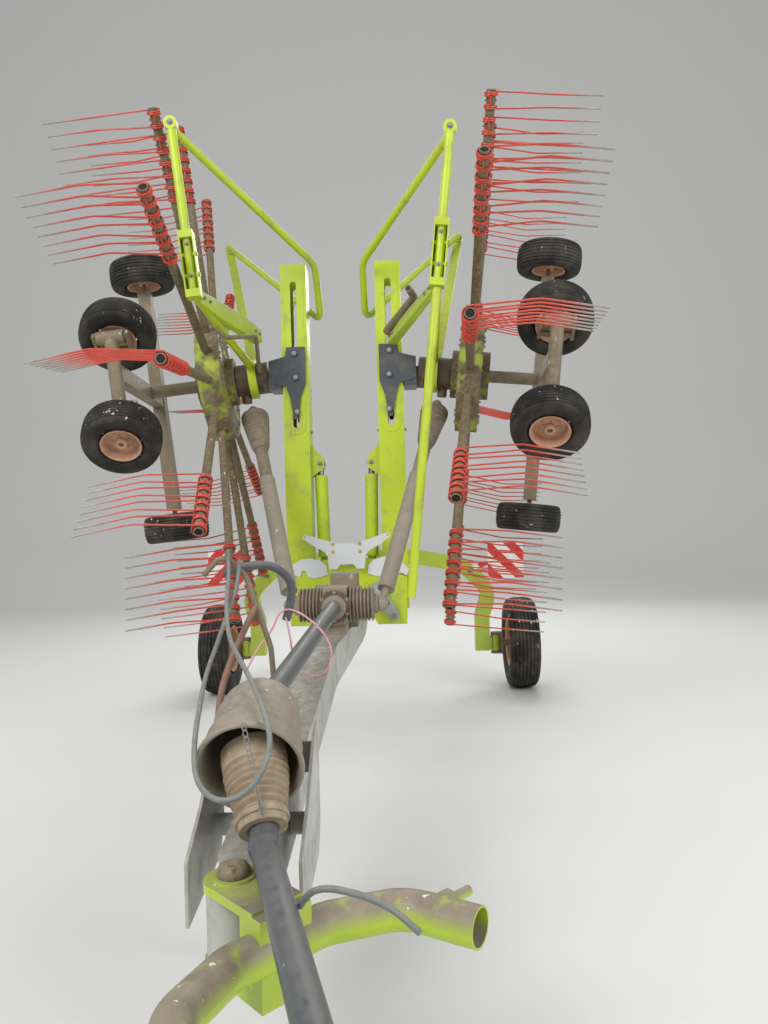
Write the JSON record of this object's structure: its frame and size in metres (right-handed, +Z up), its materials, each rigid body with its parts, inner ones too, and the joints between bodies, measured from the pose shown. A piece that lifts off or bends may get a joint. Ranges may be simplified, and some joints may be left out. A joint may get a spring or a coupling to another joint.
{
  "type": "folded twin rotor rake",
  "caption": "Trailed hay rake with paired tine rotors folded upright on a drawbar frame with steered road wheels.",
  "frame": {"origin": "on the ground under the middle of the machine's box", "axes": "+Z up, -Y forward along the drawbar to the tractor, +X to the right as seen from the front"},
  "size_m": [3.2181, 6.3102, 4.0427],
  "materials": {
    "black_guard": "matt",
    "board": "red and white stripes",
    "bright_steel": "polished",
    "dark_steel": "rusty and dusty",
    "dusty_steel": "matt with dust",
    "guard_tube": "matt, dusty",
    "hose": "matt",
    "lime_paint": "gloss, dusty",
    "pale_steel": "satin, dusty",
    "slate_paint": "satin",
    "tine_red": "gloss",
    "twine": "limp",
    "tyre": "matt"
  },
  "bodies": {
    "chassis": {"main_beam": "pale_steel", "centre_frame": "pale_steel", "rear_axle_beam": "lime_paint", "marker_boards": "board", "hose_holder": "dusty_steel", "centre_gearbox": "dark_steel", "pto_shaft": "black_guard", "pivot_plates": "pale_steel", "locking_lever": "dusty_steel", "joint_bellows": "guard_tube", "pto_guards": "guard_tube", "hook_hose": "hose", "hitch_hose": "lime_paint", "hose_bundle": "hose", "valve_hose": "hose", "twine_bow": "twine", "pto_cradle": "pale_steel"},
    "stand": {"parking_stand": "dusty_steel"},
    "hitch": {"hitch_arch": "lime_paint"},
    "knuckle_right": {"steering_knuckle_right": "dark_steel"},
    "road_wheel_right": {"transport_wheel_right": "tyre"},
    "boom_right": {"boom_right": "lime_paint"},
    "lift_barrel_right": {"lift_cylinder_barrel_right": "lime_paint"},
    "lift_rod_right": {"lift_cylinder_rod_right": "bright_steel"},
    "carriage_right": {"rotor_carriage_right": "slate_paint", "gear_head_right": "dark_steel", "rotor_chassis_right": "dusty_steel", "guard_frame_right": "lime_paint"},
    "shaft_low_right": {"shaft_lower_right": "guard_tube"},
    "shaft_up_right": {"shaft_upper_right": "guard_tube"},
    "rotor_right": {"rotor_hub_right": "lime_paint", "rotor_tines_right": "tine_red"},
    "bow_right": {"guard_bow_right": "lime_paint"},
    "castor_upper_right": {"castor_leg_upper_right": "dusty_steel"},
    "castor_wheel_upper_right": {"front_wheel_upper_right": "tyre"},
    "beam_wheel_upper_right": {"rear_wheel_upper_right": "tyre"},
    "castor_lower_right": {"castor_leg_lower_right": "dusty_steel"},
    "castor_wheel_lower_right": {"front_wheel_lower_right": "tyre"},
    "beam_wheel_lower_right": {"rear_wheel_lower_right": "tyre"},
    "knuckle_left": {"steering_knuckle_left": "dark_steel"},
    "road_wheel_left": {"transport_wheel_left": "tyre"},
    "boom_left": {"boom_left": "lime_paint"},
    "lift_barrel_left": {"lift_cylinder_barrel_left": "lime_paint"},
    "lift_rod_left": {"lift_cylinder_rod_left": "bright_steel"},
    "carriage_left": {"rotor_carriage_left": "slate_paint", "gear_head_left": "dark_steel", "rotor_chassis_left": "dusty_steel", "guard_frame_left": "lime_paint"},
    "shaft_low_left": {"shaft_lower_left": "guard_tube"},
    "shaft_up_left": {"shaft_upper_left": "guard_tube"},
    "rotor_left": {"rotor_hub_left": "lime_paint", "rotor_tines_left": "tine_red"},
    "bow_left": {"guard_bow_left": "lime_paint"},
    "castor_upper_left": {"castor_leg_upper_left": "dusty_steel"},
    "castor_wheel_upper_left": {"front_wheel_upper_left": "tyre"},
    "beam_wheel_upper_left": {"rear_wheel_upper_left": "tyre"},
    "castor_lower_left": {"castor_leg_lower_left": "dusty_steel"},
    "castor_wheel_lower_left": {"front_wheel_lower_left": "tyre"},
    "beam_wheel_lower_left": {"rear_wheel_lower_left": "tyre"}
  },
  "joints": [
    {"name": "hitch_turn", "type": "hinge", "parent": "chassis", "child": "hitch", "pos_m": [-0.085, -2.28, 0.5], "axis": [0, 0, 1], "range_deg": [-100, 10]},
    {"name": "stand_swing", "type": "hinge", "parent": "chassis", "child": "stand", "pos_m": [-0.2, -1.6, 0.65205], "axis": [1, 0, 0], "range_deg": [0, 90]},
    {"name": "steer_right", "type": "hinge", "parent": "chassis", "child": "knuckle_right", "pos_m": [1.14, 2.75, 0.405], "axis": [0, 0, 1], "range_deg": [-20, 20]},
    {"name": "road_wheel_spin_right", "type": "hinge", "parent": "knuckle_right", "child": "road_wheel_right", "pos_m": [1.366, 2.75, 0.405], "axis": [1, 0, 0], "continuous": true},
    {"name": "boom_fold_right", "type": "hinge", "parent": "chassis", "child": "boom_right", "pos_m": [0.24, 0.63, 1.1], "axis": [0, 1, 0], "range_deg": [0, 81.5]},
    {"name": "lift_barrel_swing_right", "type": "hinge", "parent": "chassis", "child": "lift_barrel_right", "pos_m": [0.15, 0.63, 1.255], "axis": [0, 1, 0], "range_deg": [-1, 87.19]},
    {"name": "lift_rod_slide_right", "type": "slide", "parent": "lift_barrel_right", "child": "lift_rod_right", "axis": [0.0198, 0, 0.9998], "range_m": [-0.002, 0.2305]},
    {"name": "carriage_slide_right", "type": "slide", "parent": "boom_right", "child": "carriage_right", "axis": [0, 0, 1], "range_m": [0, 0.45]},
    {"name": "shaft_swing_right", "type": "hinge", "parent": "boom_right", "child": "shaft_low_right", "pos_m": [0.24, -0.22, 1.1], "axis": [0.927, -0.3751, 0], "range_deg": [-0.5, 9.14]},
    {"name": "shaft_slide_right", "type": "slide", "parent": "shaft_low_right", "child": "shaft_up_right", "axis": [0.234, 0.5784, 0.7815], "range_m": [-0.002, 0.3779]},
    {"name": "rotor_spin_right", "type": "hinge", "parent": "carriage_right", "child": "rotor_right", "pos_m": [0.811, 0.63, 2.45], "axis": [0.991, -0.0745, -0.1112], "continuous": true},
    {"name": "guard_bow_fold_right", "type": "hinge", "parent": "carriage_right", "child": "bow_right", "pos_m": [0.6669, -0.33282, 3.55595], "axis": [0.0827, 0.994, 0.0711], "range_deg": [0, 140]},
    {"name": "castor_turn_upper_right", "type": "hinge", "parent": "carriage_right", "child": "castor_upper_right", "pos_m": [1.24028, -0.06244, 2.6031], "axis": [0.991, -0.0745, -0.1112], "range_deg": [0, 84]},
    {"name": "castor_wheel_spin_upper_right", "type": "hinge", "parent": "castor_upper_right", "child": "castor_wheel_upper_right", "pos_m": [1.25848, 0.10064, 2.656], "axis": [0.1324, 0.6673, 0.733], "continuous": true},
    {"name": "beam_wheel_spin_upper_right", "type": "hinge", "parent": "carriage_right", "child": "beam_wheel_upper_right", "pos_m": [1.38754, 0.91483, 3.26079], "axis": [0.1115, 0, 0.9938], "continuous": true},
    {"name": "castor_turn_lower_right", "type": "hinge", "parent": "carriage_right", "child": "castor_lower_right", "pos_m": [1.1957, -0.06244, 2.2056], "axis": [0.991, -0.0745, -0.1112], "range_deg": [0, 84]},
    {"name": "castor_wheel_spin_lower_right", "type": "hinge", "parent": "castor_lower_right", "child": "castor_wheel_lower_right", "pos_m": [1.17417, -0.09954, 2.03861], "axis": [-0.1324, -0.6673, -0.733], "continuous": true},
    {"name": "beam_wheel_spin_lower_right", "type": "hinge", "parent": "carriage_right", "child": "beam_wheel_lower_right", "pos_m": [1.19358, 0.91483, 1.53163], "axis": [0.1115, 0, 0.9938], "continuous": true},
    {"name": "steer_left", "type": "hinge", "parent": "chassis", "child": "knuckle_left", "pos_m": [-1.14, 2.75, 0.405], "axis": [0, 0, 1], "range_deg": [-20, 20]},
    {"name": "road_wheel_spin_left", "type": "hinge", "parent": "knuckle_left", "child": "road_wheel_left", "pos_m": [-1.366, 2.75, 0.405], "axis": [1, 0, 0], "continuous": true},
    {"name": "boom_fold_left", "type": "hinge", "parent": "chassis", "child": "boom_left", "pos_m": [-0.24, 0.63, 1.1], "axis": [0, -1, 0], "range_deg": [0, 81.5]},
    {"name": "lift_barrel_swing_left", "type": "hinge", "parent": "chassis", "child": "lift_barrel_left", "pos_m": [-0.15, 0.63, 1.255], "axis": [0, -1, 0], "range_deg": [-1, 87.19]},
    {"name": "lift_rod_slide_left", "type": "slide", "parent": "lift_barrel_left", "child": "lift_rod_left", "axis": [-0.0198, 0, 0.9998], "range_m": [-0.002, 0.2305]},
    {"name": "carriage_slide_left", "type": "slide", "parent": "boom_left", "child": "carriage_left", "axis": [0, 0, 1], "range_m": [0, 0.45]},
    {"name": "shaft_swing_left", "type": "hinge", "parent": "boom_left", "child": "shaft_low_left", "pos_m": [-0.24, -0.22, 1.1], "axis": [0.927, 0.3751, 0], "range_deg": [-0.5, 9.14]},
    {"name": "shaft_slide_left", "type": "slide", "parent": "shaft_low_left", "child": "shaft_up_left", "axis": [-0.234, 0.5784, 0.7815], "range_m": [-0.002, 0.3779]},
    {"name": "rotor_spin_left", "type": "hinge", "parent": "carriage_left", "child": "rotor_left", "pos_m": [-0.811, 0.63, 2.45], "axis": [0.991, 0.0745, 0.1112], "continuous": true},
    {"name": "guard_bow_fold_left", "type": "hinge", "parent": "carriage_left", "child": "bow_left", "pos_m": [-0.7865, -0.34102, 3.63814], "axis": [0.0769, -0.9969, -0.017], "range_deg": [0, 130]},
    {"name": "castor_turn_upper_left", "type": "hinge", "parent": "carriage_left", "child": "castor_upper_left", "pos_m": [-1.24028, -0.06244, 2.6031], "axis": [0.991, 0.0745, 0.1112], "range_deg": [0, 84]},
    {"name": "castor_wheel_spin_upper_left", "type": "hinge", "parent": "castor_upper_left", "child": "castor_wheel_upper_left", "pos_m": [-1.25848, 0.10064, 2.656], "axis": [0.1324, -0.6673, -0.733], "continuous": true},
    {"name": "beam_wheel_spin_upper_left", "type": "hinge", "parent": "carriage_left", "child": "beam_wheel_upper_left", "pos_m": [-1.38754, 0.91483, 3.26079], "axis": [0.1115, 0, -0.9938], "continuous": true},
    {"name": "castor_turn_lower_left", "type": "hinge", "parent": "carriage_left", "child": "castor_lower_left", "pos_m": [-1.1957, -0.06244, 2.2056], "axis": [0.991, 0.0745, 0.1112], "range_deg": [0, 84]},
    {"name": "castor_wheel_spin_lower_left", "type": "hinge", "parent": "castor_lower_left", "child": "castor_wheel_lower_left", "pos_m": [-1.17417, -0.09954, 2.03861], "axis": [-0.1324, 0.6673, 0.733], "continuous": true},
    {"name": "beam_wheel_spin_lower_left", "type": "hinge", "parent": "carriage_left", "child": "beam_wheel_lower_left", "pos_m": [-1.19358, 0.91483, 1.53163], "axis": [0.1115, 0, -0.9938], "continuous": true}
  ],
  "couplings": [
    {"joint": "lift_barrel_swing_right", "follows": "boom_fold_right", "ratio": 1.0575},
    {"joint": "lift_rod_slide_right", "follows": "boom_fold_right", "m_per_rad": 0.15855},
    {"joint": "shaft_swing_right", "follows": "carriage_slide_right", "rad_per_m": 0.33527},
    {"joint": "shaft_slide_right", "follows": "carriage_slide_right", "ratio": 0.82861},
    {"joint": "lift_barrel_swing_left", "follows": "boom_fold_left", "ratio": 1.0575},
    {"joint": "lift_rod_slide_left", "follows": "boom_fold_left", "m_per_rad": 0.15855},
    {"joint": "shaft_swing_left", "follows": "carriage_slide_left", "rad_per_m": 0.33527},
    {"joint": "shaft_slide_left", "follows": "carriage_slide_left", "ratio": 0.82861},
    {"joint": "steer_left", "follows": "steer_right", "ratio": 1}
  ]
}
